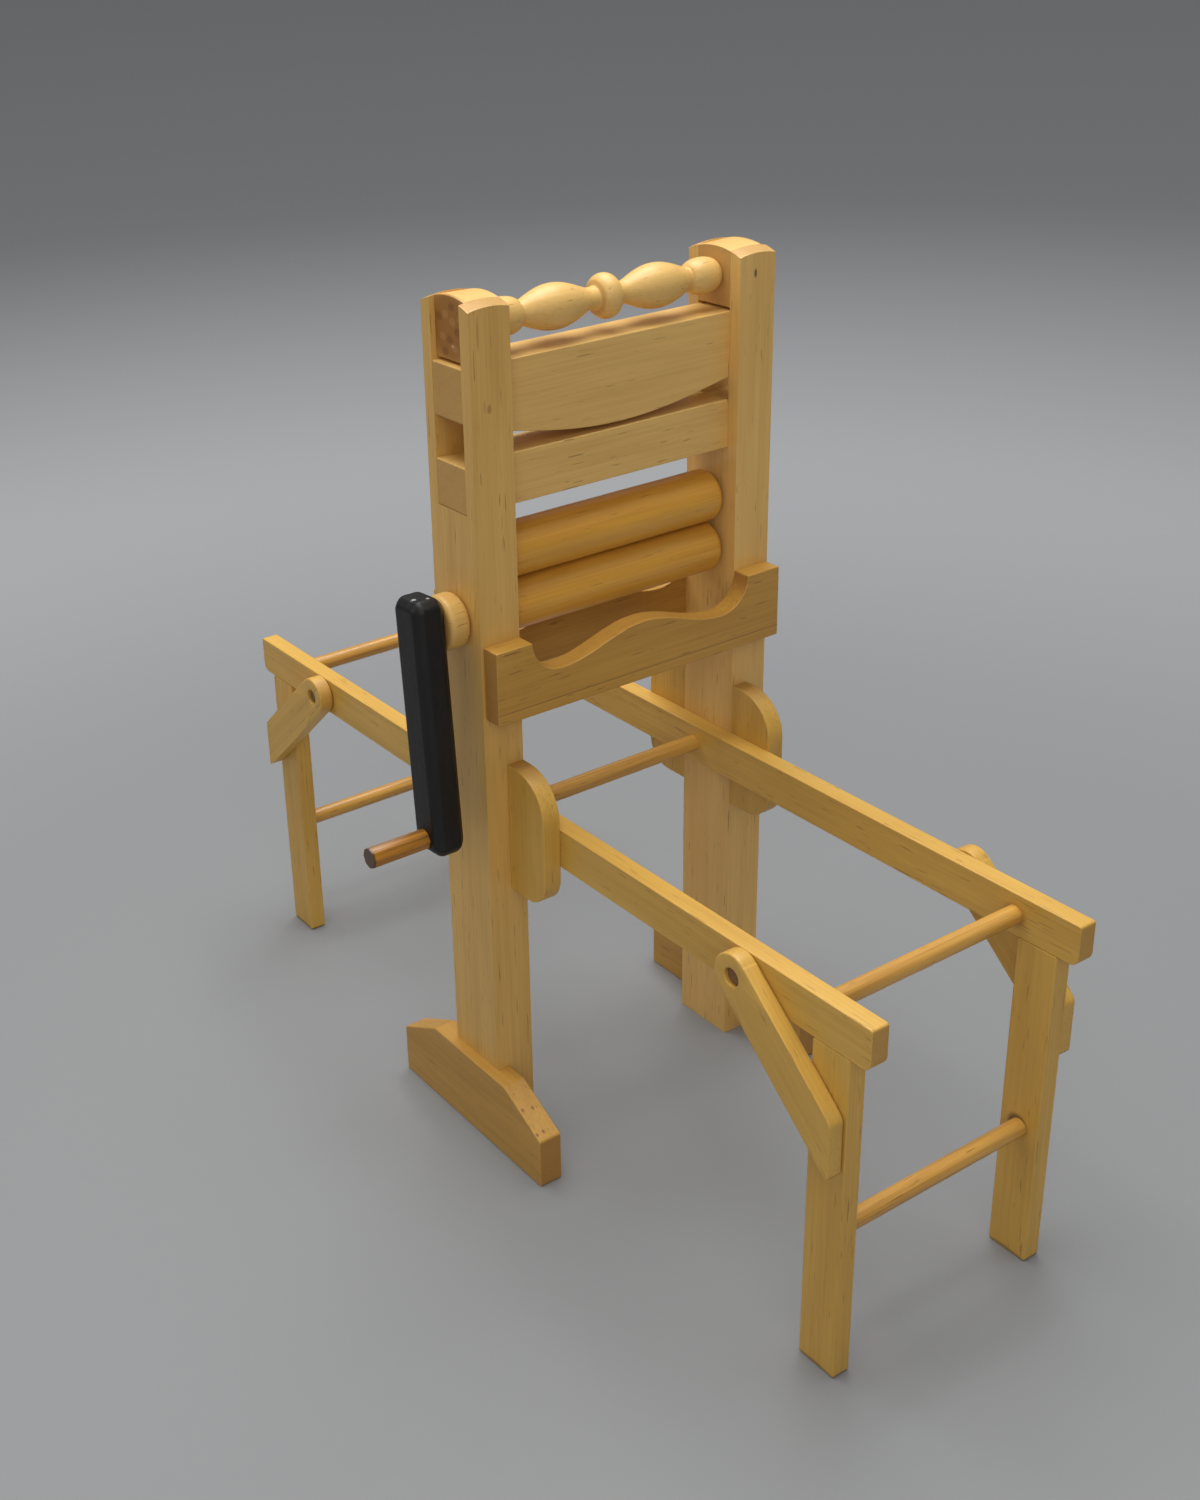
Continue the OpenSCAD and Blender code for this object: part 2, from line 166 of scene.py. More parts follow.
# noise scales are per millimetre, along the grain and then twice across it
grainLook = dict(fibre=(0.05, 2.6, 2.6), thread=(0.12, 9.0, 9.0), blotch=(0.035, 0.16, 0.16),
                 bend=(0.02, 0.12, 0.12), fleck=(0.22, 3.4, 3.4), fleckFrom=0.69, fleckTo=0.76,
                 pith=(17.0, 9.0), bendReach=7.0, fibreGain=3.0, blotchGain=2.4, threadAmount=0.35,
                 base=0.22, endFrom=0.75, endTo=0.98, endAmount=0.6, coatRoughness=0.22, ior=1.5)
grainTurn = {"x": (0, 0, 0), "y": (0, 0, -math.pi / 2), "z": (0, math.pi / 2, 0)}
grainLine = {"x": (1, 0, 0), "y": (0, 1, 0), "z": (0, 0, 1)}


def woodFinish(name, look, turn, line, offset, spots=()):
    # grain runs along line; rings are distances from a far pith, bent by slow noise
    material, tree = newTree(name)
    g = grainLook
    raw = millimetres(tree)
    grain = put(tree, "ShaderNodeMapping", {}, {"Vector": raw, "Rotation": turn, "Location": offset})
    fibre = noise(tree, grain, g["fibre"], 3.0, 0.6)
    thread = noise(tree, grain, g["thread"], 2.0, 0.6)
    blotch = noise(tree, grain, g["blotch"], 2.0, 0.5)
    bend = noise(tree, grain, g["bend"], 1.0, 0.4)
    parts = put(tree, "ShaderNodeSeparateXYZ", {}, {0: grain}).socket.node.outputs
    across, up = Wire(tree, parts[1]), Wire(tree, parts[2])
    pith = ((across + g["pith"][0]) ** 2 + (up + g["pith"][1]) ** 2) ** 0.5 + bend * g["bendReach"]
    ring = (pith * (tau / look["ringGap"])).math("SINE") * 0.5 + 0.5
    fleckNoise = noise(tree, grain, g["fleck"], 1.0, 0.4)
    fleck = between(tree, fleckNoise, g["fleckFrom"], g["fleckTo"]) * look["fleckAmount"]
    shade = (fibre - 0.5) * (look["fibreAmount"] * g["fibreGain"]) + ring * ring * look["ringAmount"] \
        + (blotch - 0.5) * (look["blotchAmount"] * g["blotchGain"]) \
        + (thread - 0.5) * g["threadAmount"] + g["base"]
    colour = blendColour(tree, shade, rgba(look["light"]), rgba(look["dark"]))
    colour = blendColour(tree, fleck, colour, rgba(look["fleck"]))
    # faces square to the grain are end grain, which drinks more stain
    facing = put(tree, "ShaderNodeVectorMath", {"operation": "DOT_PRODUCT"},
                 {0: put(tree, "ShaderNodeTexCoord", out="Normal"), 1: line}, out=1)
    ends = between(tree, abs(facing), g["endFrom"], g["endTo"]) * g["endAmount"]
    colour = blendColour(tree, ends, colour, rgba(look["end"]))
    for centre, size, tint, amount in spots:
        colour = blendColour(tree, spotMask(tree, raw, centre, size) * amount, colour, rgba(tint))
    roughness = (fibre - 0.5) * 0.18 + (blotch - 0.5) * 0.12 + look["roughness"] + ends * 0.25
    height = fibre * 0.6 + thread * 0.3 - fleck * 0.8
    finishTree(tree, colour, roughness, height, look["bump"] * mm,
               {"Coat Weight": look["coat"], "Coat Roughness": g["coatRoughness"], "IOR": g["ior"]})
    return material


def paintFinish(name, look, chips):
    # brush strokes run along Z; a chip shows only where the lumps are high, so its rim is ragged
    material, tree = newTree(name)
    raw = millimetres(tree)
    brush = noise(tree, raw, look["brush"], 3.0, 0.6)
    lumps = noise(tree, raw, look["lumps"], 3.0, 0.6)
    colour = blendColour(tree, (brush - 0.35) * 1.4, rgba(look["deep"]), rgba(look["dull"]))
    for centre, size, tint, amount in chips:
        ragged = spotMask(tree, raw, centre, size) * between(tree, lumps, 0.42, 0.5)
        colour = blendColour(tree, ragged * amount, colour, rgba(tint))
    finishTree(tree, colour, brush * 0.25 + look["roughness"], lumps * 0.7 + brush * 0.5,
               look["bump"] * mm, {"Coat Weight": look["coat"], "Coat Roughness": look["coatRoughness"],
                                   "Specular IOR Level": look["specular"]})
    return material


rng = np.random.default_rng(7)


def offset():
    return tuple(float(v) for v in rng.uniform(-60, 60, 3))


def pine(name, axis, spots=(), look=paleWood):
    return woodFinish(name, look, grainTurn[axis], grainLine[axis], offset(), spots)


def boxMm(node):
    low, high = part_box(node)
    return np.array(low) / mm, np.array(high) / mm


def easeEdges(piece, width):
    if width:
        bevel = piece.modifiers.new("easedEdges", "BEVEL")
        bevel.width, bevel.segments, bevel.limit_method = width * mm, 3, "ANGLE"
        bevel.angle_limit = math.radians(30)
    piece.modifiers.new("evenShading", "WEIGHTED_NORMAL").keep_sharp = True


def faceOutwards(mesh, mergeWithin=0.0, levelWithin=0.0):
    # doubles and level edges go first, where the mesh comes as loose triangles
    work = bmesh.new()
    work.from_mesh(mesh)
    if mergeWithin:
        bmesh.ops.remove_doubles(work, verts=work.verts, dist=mergeWithin)
        bmesh.ops.dissolve_limit(work, angle_limit=levelWithin, verts=work.verts, edges=work.edges)
    bmesh.ops.recalc_face_normals(work, faces=work.faces)
    work.to_mesh(mesh)
    work.free()


def placePiece(mesh, name, body, material, node, bevel):
    mesh.shade_smooth()
    mesh.materials.append(material)
    piece = bpy.data.objects.new(name, mesh)
    bpy.context.scene.collection.objects.link(piece)
    easeEdges(piece, bevel)
    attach(piece, body)
    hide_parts(node)


def addPiece(name, shells, body, material, node, bevel=0.0):
    # shells are (points in millimetres, faces); they become one object that stands for the node
    points, faces, start = [], [], 0
    for shellPoints, shellFaces in shells:
        points.append(shellPoints)
        faces += [[i + start for i in face] for face in shellFaces]
        start += len(shellPoints)
    mesh = bpy.data.meshes.new(name)
    mesh.from_pydata((np.concatenate(points) * mm).tolist(), [], faces)
    faceOutwards(mesh)
    placePiece(mesh, name, body, material, node, bevel)


def gridFaces(rows, columns, closeRows=False):
    # quads between neighbouring rows; columns always close on themselves
    r = np.arange(rows if closeRows else rows - 1)[:, None]
    c = np.arange(columns)[None, :]
    nextR, nextC = (r + 1) % rows, (c + 1) % columns
    quads = np.stack([r * columns + c, r * columns + nextC,
                      nextR * columns + nextC, nextR * columns + c], -1)
    return quads.reshape(-1, 4).tolist()


def arc(centre, radius, start, end, steps=14):
    # centre plus radius times the cosine and sine of evenly spaced angles, in degrees
    a = np.radians(np.linspace(start, end, steps))
    return np.stack([centre[0] + radius * np.cos(a), centre[1] + radius * np.sin(a)], 1)


def soften(outline, radius, steps=4):
    # each corner gives way to a short curve between points on its two edges (a quadratic one)
    p = np.asarray(outline, float)
    before, after = np.roll(p, 1, 0) - p, np.roll(p, -1, 0) - p
    lengthB = np.linalg.norm(before, axis=1, keepdims=True)
    lengthA = np.linalg.norm(after, axis=1, keepdims=True)
    start = p + before / lengthB * np.minimum(radius, 0.45 * lengthB)
    end = p + after / lengthA * np.minimum(radius, 0.45 * lengthA)
    t = np.linspace(0, 1, steps + 1)[None, :, None]
    return ((1 - t) ** 2 * start[:, None] + 2 * t * (1 - t) * p[:, None]
            + t ** 2 * end[:, None]).reshape(-1, 2)


def outwardNormals(p):
    # mitred normals of a closed counter-clockwise outline
    edge = np.roll(p, -1, 0) - p
    edge /= np.maximum(np.linalg.norm(edge, axis=1, keepdims=True), 1e-9)
    normal = np.stack([edge[:, 1], -edge[:, 0]], 1)
    both = normal + np.roll(normal, 1, 0)
    both /= np.maximum(np.linalg.norm(both, axis=1, keepdims=True), 1e-9)
    return both / np.clip((both * normal).sum(1, keepdims=True), 0.5, 1)


def plate(outline, low, high, axis, edge=0.16, rim=3):
    # the outline carried through the thickness; its inset follows a quarter circle at each face,
    # and the inset stays under the outline's corner radius so that the end faces don't fold
    p = np.asarray(outline, float)
    area = np.sum(p[:, 0] * np.roll(p[:, 1], -1) - np.roll(p[:, 0], -1) * p[:, 1])
    p = p if area > 0 else p[::-1]
    a = np.linspace(0, math.pi / 2, rim + 1)
    inset, depth = edge * (1 - np.sin(a)), edge * (1 - np.cos(a))
    inset = np.concatenate([inset, inset[::-1]])
    through = np.concatenate([low + depth, (high - depth)[::-1]])
    flat = p[None] - inset[:, None, None] * outwardNormals(p)[None]
    layers = np.broadcast_to(through[:, None], flat.shape[:2])
    order = {"x": (layers, flat[..., 0], flat[..., 1]), "y": (flat[..., 0], layers, flat[..., 1])}
    points = np.stack(order[axis], -1).reshape(-1, 3)
    rows, columns = len(inset), len(p)
    caps = [list(range(columns)), list(range((rows - 1) * columns, rows * columns))]
    return points, gridFaces(rows, columns) + caps


def turned(along, radius, centre, steps=64):
    # a radius at each place along X, swept about a line through centre, closed by a pole at each end
    angle = np.linspace(0, tau, steps, endpoint=False)[None, :]
    rows, r = len(along), np.asarray(radius, float)[:, None]
    x = np.broadcast_to(np.asarray(along, float)[:, None], (rows, steps))
    grid = np.stack([x, centre[0] + r * np.cos(angle), centre[1] + r * np.sin(angle)], -1)
    poles = np.array([[along[0], *centre], [along[-1], *centre]])
    c = np.arange(steps)
    n = (c + 1) % steps
    first = np.stack([np.full(steps, rows * steps), n, c], 1)
    last = np.stack([np.full(steps, rows * steps + 1), (rows - 1) * steps + c,
                     (rows - 1) * steps + n], 1)
    return (np.concatenate([grid.reshape(-1, 3), poles]),
            gridFaces(rows, steps) + first.tolist() + last.tolist())


def roundedRod(x0, x1, radius, edge, rim=4, middles=12):
    # places and radii of a rod whose end edges are quarter circles
    a = np.linspace(0, math.pi / 2, rim + 1)
    back = edge * (1 - np.cos(a))
    shrink = radius - edge * (1 - np.sin(a))
    middle = np.linspace(x0 + edge, x1 - edge, middles + 2)[1:-1]
    return (np.concatenate([x0 + back, middle, (x1 - back)[::-1]]),
            np.concatenate([shrink, np.full(middles, radius), shrink[::-1]]))


def boxRod(node, edge, rim=4):
    # the rod that fills its node's box: its axis in Y and Z, then its places and radii
    low, high = boxMm(node)
    centre = ((low[1] + high[1]) / 2, (low[2] + high[2]) / 2)
    return centre, *roundedRod(low[0], high[0], (high[2] - low[2]) / 2, edge, rim)


def waver(x, r, look, phase):
    # the radius dips and comes back as a sine along the rod
    return r * (1 - look["wobble"] * (1 + np.sin(x * look["pitch"] + phase)) / 2)


# uprights: merged copies of the frame's own posts, their edges eased

uprightLook = dict(ease=0.26, mergeWithin=1e-6, levelWithin=math.radians(1.0),
                   knot=(0.30, 0.13, 0.03), nick=(0.16, 0.07, 0.02))
postLow, postHigh = boxMm("left_upright")
farLow, farHigh = boxMm("right_upright")
inLeft, inRight = postHigh[0], farLow[0]
frontFace = postLow[1]
middleX = (postLow[0] + farHigh[0]) / 2
nearSpots = [((middleX - 22.9, frontFace, 114.2), (0.42, 0.6, 0.75), uprightLook["knot"], 0.5),
             ((middleX - 24.3, frontFace, 124.2), (0.22, 0.5, 2.7), uprightLook["knot"], 0.4)]
farSpots = [((middleX + 22.1, frontFace, 124.6), (0.30, 0.6, 0.75), uprightLook["nick"], 0.9)]
for side, spots, look in (("left", nearSpots, paleWood), ("right", farSpots, creamWood)):
    material = pine(side + "PostPine", "z", spots, look)
    mesh = frame["nodes"][side + "_upright"].data.copy()
    mesh.name = side + "Post"
    mesh.materials.clear()
    faceOutwards(mesh, uprightLook["mergeWithin"], uprightLook["levelWithin"])
    placePiece(mesh, side + "Post", "frame", material, side + "_upright", uprightLook["ease"])
print("uprights made")

# feet: flat and shoulder are shares of the half length and of the height; holes are pinholes on the
# sloping front face, as shares across it and down it

footLook = dict(edge=0.2, corner=0.36, flat=0.511, shoulder=0.635, holeSize=(0.3, 0.38, 0.6),
                holeTint=(0.20, 0.075, 0.02), holeAmount=0.75,
                holes=((0.15, 0.44), (0.58, 0.47), (0.10, 0.87), (0.41, 0.86)))
for side in ("left", "right"):
    low, high = boxMm(side + "_foot")
    half, top = high[1], high[2]
    flat, shoulder = half * footLook["flat"], top * footLook["shoulder"]
    shape = [(-half, 0), (half, 0), (half, shoulder), (flat, top), (-flat, top), (-half, shoulder)]
    holes = [((low[0] + across * (high[0] - low[0]), -flat - down * (half - flat),
               top - down * (top - shoulder)), footLook["holeSize"], footLook["holeTint"],
              footLook["holeAmount"]) for across, down in footLook["holes"]]
    addPiece(side + "Foot", [plate(soften(shape, footLook["corner"]), low[0], high[0], "x",
             footLook["edge"])], "frame", pine(side + "FootPine", "y", holes, russetWood),
             side + "_foot")

# rails, legs and brackets, with glue by the upper stretchers and painted shade in the gap round the lower
# ones

benchLook = dict(edge=0.17, corner=0.27, endCorner=0.5, railNose=1.4, bracketUpper=6.4, bracketLower=4.4,
                 glueTint=(0.46, 0.20, 0.03), glueSize=(0.6, 2.3, 2.1), glueAmount=0.6,
                 gapPaintedShadeTint=(0.11, 0.045, 0.012), gapPaintedShadeSize=(0.6, 1.95, 1.95), gapPaintedShadeBack=0.25, gapPaintedShadeHeight=21.25,
                 gapPaintedShadeAmount={"left": 0.5, "right": 0.85},
                 bottomBandTint=(0.16, 0.08, 0.025), bottomBandSize=(4.5, 4.5, 0.75), bottomBandAmount=0.55)
rodLow, rodHigh = boxMm("rear_upper_stretcher")
stretcherY = (rodLow[1] + rodHigh[1]) / 2
for side in ("left", "right"):
    low, high = boxMm(side + "_rail")
    nose = benchLook["railNose"]
    shape = np.concatenate([
        arc((high[1] - nose, low[2] + nose), nose, -90, 0, 8), [(high[1], high[2]), (low[1], high[2])],
        arc((low[1] + nose, low[2] + nose), nose, 180, 270, 8)])
    innerX = high[0] if side == "left" else low[0]
    glue = [((innerX, sign * stretcherY, (low[2] + high[2]) / 2), benchLook["glueSize"],
             benchLook["glueTint"], benchLook["glueAmount"]) for sign in (-1, 1)]
    addPiece(side + "Rail", [plate(soften(shape, benchLook["endCorner"], 3), low[0], high[0], "x",
             benchLook["edge"])], "frame", pine(side + "RailPine", "y", glue, honeyWood),
             side + "_rail")
    for end, sign in (("front", -1), ("rear", 1)):
        node = f"{side}_{end}_leg"
        low, high = boxMm(node)
        middleY = (low[1] + high[1]) / 2
        shape = [(low[1], low[2]), (high[1], low[2]), (high[1], high[2]), (low[1], high[2])]
        # painted shade: a dark patch on the leg round the lower stretcher's end, standing for the shade in
        # the gap there, darker on the right
        marks = [((innerX, middleY + benchLook["gapPaintedShadeBack"], benchLook["gapPaintedShadeHeight"]), benchLook["gapPaintedShadeSize"],
                  benchLook["gapPaintedShadeTint"], benchLook["gapPaintedShadeAmount"][side]),
                 # a thin band along the leg's very bottom, where it stands on the floor, is darker
                 ((low[0], middleY, 0), benchLook["bottomBandSize"], benchLook["bottomBandTint"],
                  benchLook["bottomBandAmount"])]
        addPiece(f"{side}{end.title()}Leg", [plate(soften(shape, benchLook["endCorner"]), low[0],
                 high[0], "x", benchLook["edge"])], "frame",
                 pine(node + "Pine", "z", marks, honeyWood), node)
        node = f"{side}_{end}_bracket"
        low, high = boxMm(node)
        inner, outer = (low[1], high[1]) if sign > 0 else (-high[1], -low[1])
        upper, lower = benchLook["bracketUpper"], benchLook["bracketLower"]
        shape = np.concatenate([[(inner, low[2])], arc((outer - lower, low[2] + lower), lower, -90, 0),
                                arc((outer - upper, high[2] - upper), upper, 0, 90),
                                [(inner, high[2])]]) * [sign, 1]
        addPiece(f"{side}{end.title()}Bracket", [plate(soften(shape, benchLook["corner"], 3), low[0],
                 high[0], "x", benchLook["edge"])], "frame",
                 pine(node + "Pine", "z", (), honeyWood), node)
print("bench made")

# stretchers and the four pegs

rodLook = dict(edge=0.15, wobble=0.012, pitch=0.9, steps=40)
for node in ("centre_stretcher", "front_upper_stretcher", "rear_upper_stretcher",
             "front_lower_stretcher", "rear_lower_stretcher"):
    centre, x, r = boxRod(node, rodLook["edge"])
    r = waver(x, r, rodLook, boxMm(node)[0][1])
    addPiece(node.replace("_", "") + "Rod", [turned(x, r, centre, rodLook["steps"])], "frame",
             pine(node + "Amber", "x", (), amberWood), node)

pegLook = dict(length=3.95, edge=0.2, clear=0.06, steps=32)
pegLow, pegHigh = boxMm("brace_pegs")
pegHalf, pegMiddle = (pegHigh[0] - pegLow[0]) / 2, (pegHigh[0] + pegLow[0]) / 2
pegRadius = (pegHigh[2] - pegLow[2]) / 2
pegShells = []
for side, sign in (("left", -1), ("right", 1)):
    for end in ("front", "rear"):
        place = np.array(joints[f"{side}_{end}_brace_pivot"]["pos_m"]) / mm
        outer = pegMiddle + sign * pegHalf
        inner = outer - sign * pegLook["length"]
        x, r = roundedRod(min(outer, inner), max(outer, inner), pegRadius, pegLook["edge"])
        pegShells.append(turned(x, r, (place[1], place[2]), pegLook["steps"]))
addPiece("bracePegs", pegShells, "frame", pine("pegStain", "x", (), darkPeg), "brace_pegs")

# braces: slope is in degrees; crisp sharpens the outline's corners, bunch gathers points at the cut end

braceLook = dict(width=6.4, slope=41.5, edge=0.25, holeEdge=0.15, crisp=26.0, bunch=0.82, steps=200,
                 noseShare=1.012)


def braceShell(pivot, reach, low, high, endSign, look, holeRadius):
    # radius at each angle is a soft least of: half width over sine, nose radius, cut line over cosine
    s = np.linspace(0, tau, look["steps"], endpoint=False)
    angle = s - look["bunch"] * np.sin(s)
    slope = math.radians(look["slope"])
    half, far, tiny = look["width"] / 2, 1e4, 1e-4
    side = half / np.maximum(np.abs(np.sin(angle)), tiny)
    nose = np.where(np.cos(angle) < 0, half * look["noseShare"], far)
    cut = reach / np.maximum(np.cos(angle - slope), tiny)
    p = look["crisp"]
    limit = (side ** -p + nose ** -p + cut ** -p) ** (-1 / p)
    # rows run from the middle of the bore over one face to the outline, and back over the other
    edge, lip = look["edge"], look["holeEdge"]
    a = np.linspace(0, math.pi / 2, 4)
    b = a[::-1]
    share = np.concatenate([np.zeros(5), np.ones(8), np.zeros(4)])
    grow = np.concatenate([[0], lip * (1 - np.sin(b)), -edge * (1 - np.sin(a)),
                           -edge * (1 - np.sin(b)), lip * (1 - np.sin(a))])
    x = np.concatenate([[(low + high) / 2], low + lip * (1 - np.cos(b)), low + edge * (1 - np.cos(a)),
                        high - edge * (1 - np.cos(b)), high - lip * (1 - np.cos(a))])
    r = holeRadius + (limit[None] - holeRadius) * share[:, None] + grow[:, None]
    along, across = r * np.cos(angle), r * np.sin(angle)
    y = along * math.cos(slope) + across * math.sin(slope)
    z = -along * math.sin(slope) + across * math.cos(slope)
    grid = np.stack([np.broadcast_to(x[:, None], r.shape), pivot[1] + endSign * y, pivot[2] + z], -1)
    return grid.reshape(-1, 3), gridFaces(len(x), len(angle), True)


slope = math.radians(braceLook["slope"])
for side in ("left", "right"):
    for end, sign in (("front", -1), ("rear", 1)):
        node = f"{side}_{end}_brace"
        low, high = boxMm(node)
        pivot = np.array(joints[node + "_pivot"]["pos_m"]) / mm
        reach = max(abs(low[1]), abs(high[1])) - abs(pivot[1])
        line = (0, sign * math.cos(slope), -math.sin(slope))
        turn = (sign * slope, 0, -math.pi / 2)
        shell = braceShell(pivot, reach, low[0], high[0], sign, braceLook, pegRadius + pegLook["clear"])
        addPiece(f"{side}{end.title()}Brace", [shell], node,
                 woodFinish(node + "Pine", honeyWood, turn, line, offset()), node)
print("braces made")

# boards: the upper one's lower edge bellies down as a cosine

boardLook = dict(edge=0.16, corner=0.27, belly=2.5, bellySteps=41, lowerTenon=6.5, upperTenon=7.3)
low, high = boxMm("lower_board")
tenonTop = low[2] + boardLook["lowerTenon"]
shape = [(low[0], low[2]), (high[0], low[2]), (high[0], tenonTop), (inRight, tenonTop),
         (inRight, high[2]), (inLeft, high[2]), (inLeft, tenonTop), (low[0], tenonTop)]
addPiece("lowerBoard", [plate(soften(shape, boardLook["corner"]), low[1], high[1], "y",
         boardLook["edge"])], "frame", pine("lowerBoardPine", "x", (), creamWood), "lower_board")

low, high = boxMm("upper_board")
centreX, halfSpan = (inLeft + inRight) / 2, (inRight - inLeft) / 2
bellyX = np.linspace(inLeft, inRight, boardLook["bellySteps"])
bellyZ = low[2] + boardLook["belly"] * (1 - np.cos(math.pi / 2 * (bellyX - centreX) / halfSpan))
tenonLow = high[2] - boardLook["upperTenon"]
shape = np.concatenate([[(low[0], tenonLow), (inLeft, tenonLow)], np.stack([bellyX, bellyZ], 1),
                        [(inRight, tenonLow), (high[0], tenonLow), (high[0], high[2]),
                         (low[0], high[2])]])
upperWood = dict(creamWood, fleckAmount=0.75, fleck=(0.40, 0.21, 0.055))
addPiece("upperBoard", [plate(soften(shape, boardLook["corner"], 3), low[1], high[1], "y",
         boardLook["edge"])], "frame", pine("upperBoardPine", "x", (), upperWood), "upper_board")

# aprons: a cove at each end and a cosine hump between; the seam is a glue line low on the front one

apronLook = dict(edge=0.16, corner=0.27, cove=4.9, coveSteps=10, hump=3.0, humpSteps=41,
                 seamTint=(0.22, 0.11, 0.035), seamUp=1.6, seamSize=(60, 0.5, 0.13), seamAmount=0.6)
for end in ("front", "rear"):
    low, high = boxMm(end + "_apron")
    middle, half = (low[0] + high[0]) / 2, (high[0] - low[0]) / 2
    wave = half - (postHigh[0] - low[0]) - apronLook["cove"]
    waveX = np.linspace(wave, -wave, apronLook["humpSteps"])
    waveZ = high[2] - apronLook["cove"] + apronLook["hump"] * (1 + np.cos(math.pi * waveX / wave)) / 2
    rightCove = arc((wave, high[2]), apronLook["cove"], 0, -90, apronLook["coveSteps"])[:-1]
    leftCove = (rightCove * [-1, 1])[::-1]
    shape = np.concatenate([[(-half, low[2]), (half, low[2]), (half, high[2])], rightCove,
                            np.stack([waveX, waveZ], 1), leftCove, [(-half, high[2])]]) + [middle, 0]
    seam = [((middle, low[1], low[2] + apronLook["seamUp"]), apronLook["seamSize"],
             apronLook["seamTint"], apronLook["seamAmount"])]
    addPiece(end + "Apron", [plate(soften(shape, apronLook["corner"], 3), low[1], high[1], "y",
             apronLook["edge"])], "frame",
             pine(end + "ApronPine", "x", seam if end == "front" else (), russetWood), end + "_apron")
print("boards and aprons made")

# spindle: a turned middle, and square ends domed with the posts

spindleLook = dict(neck=1.55, bead=3.1, swell=3.1, ball=2.6, beadHalf=1.7, neckHalf=3.0, ballSpan=5.0,
                   swellPower=1.15, places=321, steps=72, edge=0.12, corner=0.22, topPoints=9,
                   domeRise=1.5, domeBand=2.0,
                   stain=(0.37, 0.148, 0.02), stainSize=(0.9, 6, 6), stainAmount=0.95,
                   speck=(0.62, 0.45, 0.25), speckSize=(0.5, 0.45, 0.3), speckAmount=0.9,
                   mottle=(0.50, 0.24, 0.065), shade=(0.20, 0.07, 0.014), mottles=10,
                   mottleTurn=2.4, mottleReach=(2.8, 3.6), mottleSize=(0.5, 0.9, 0.7), mottleAmount=0.55)


def spindleRadius(x, look, half):
    # a half round bead, a straight neck, a long swell like a sine hump, then a ball at the post
    u = np.abs(x)
    neck, swellEnd, ballHalf = look["neck"], half - look["ballSpan"], look["ballSpan"] / 2

    def halfRound(v, r):
        return neck + (r - neck) * np.sqrt(np.clip(1 - v * v, 0, 1))

    t = np.clip((u - look["neckHalf"]) / (swellEnd - look["neckHalf"]), 0, 1)
    hump = neck + (look["swell"] - neck) * np.sin(math.pi * t) ** look["swellPower"]
    ball = halfRound((u - (half - ballHalf)) / ballHalf, look["ball"])
    return np.where(u < look["beadHalf"], halfRound(u / look["beadHalf"], look["bead"]),
                    np.where(u < look["neckHalf"], neck, np.where(u < swellEnd, hump, ball)))


low, high = boxMm("top_spindle")
blockHalf, blockLow, blockTop = (high[1] - low[1]) / 2, low[2], high[2]
spindleZ = (blockLow + blockTop) / 2
x = np.linspace(-halfSpan, halfSpan, spindleLook["places"])
shells = [turned(centreX + x, spindleRadius(x, spindleLook, halfSpan), (0, spindleZ),
                 spindleLook["steps"])]
# the dome is part of a ball through the post's four corners, domeRise high at the middle
rise = spindleLook["domeRise"]
cornerReach = ((postHigh[0] - postLow[0]) / 2) ** 2 + postHigh[1] ** 2
domeRadius = (cornerReach + rise ** 2) / (2 * rise)
across = np.linspace(blockHalf, -blockHalf, spindleLook["topPoints"])
shape = np.concatenate([[(-blockHalf, blockLow), (blockHalf, blockLow)],
                        np.stack([across, np.full(len(across), blockTop)], 1)])
for domeX, x0, x1 in (((postLow[0] + postHigh[0]) / 2, low[0], inLeft),
                      ((farLow[0] + farHigh[0]) / 2, inRight, high[0])):
    points, faces = plate(soften(shape, spindleLook["corner"], 3), x0, x1, "x", spindleLook["edge"])
    away = (points[:, 0] - domeX) ** 2 + points[:, 1] ** 2
    drop = domeRadius - np.sqrt(domeRadius ** 2 - away)
    points[:, 2] -= np.where(points[:, 2] > blockTop - spindleLook["domeBand"], drop, 0)
    shells.append((points, faces))
endSpots = [((endX, 0, spindleZ), spindleLook["stainSize"], spindleLook["stain"],
             spindleLook["stainAmount"]) for endX in (low[0], high[0])]
endSpots.append(((low[0], -0.6, spindleZ - 2.4), spindleLook["speckSize"], spindleLook["speck"],
                 spindleLook["speckAmount"]))
# mottles wind out over the end face, by a golden angle and the root of their number
for k in range(1, spindleLook["mottles"] + 1):
    out, turnBy = math.sqrt(k / spindleLook["mottles"]), spindleLook["mottleTurn"] * k
    reachY, reachZ = spindleLook["mottleReach"]
    endSpots.append(((low[0], reachY * out * math.cos(turnBy), spindleZ + reachZ * out * math.sin(turnBy)),
                     spindleLook["mottleSize"], spindleLook["mottle" if k % 2 else "shade"],
                     spindleLook["mottleAmount"]))
addPiece("topSpindle", shells, "frame", pine("spindlePine", "x", endSpots, creamWood),
         "top_spindle")

# rollers, axles, boss

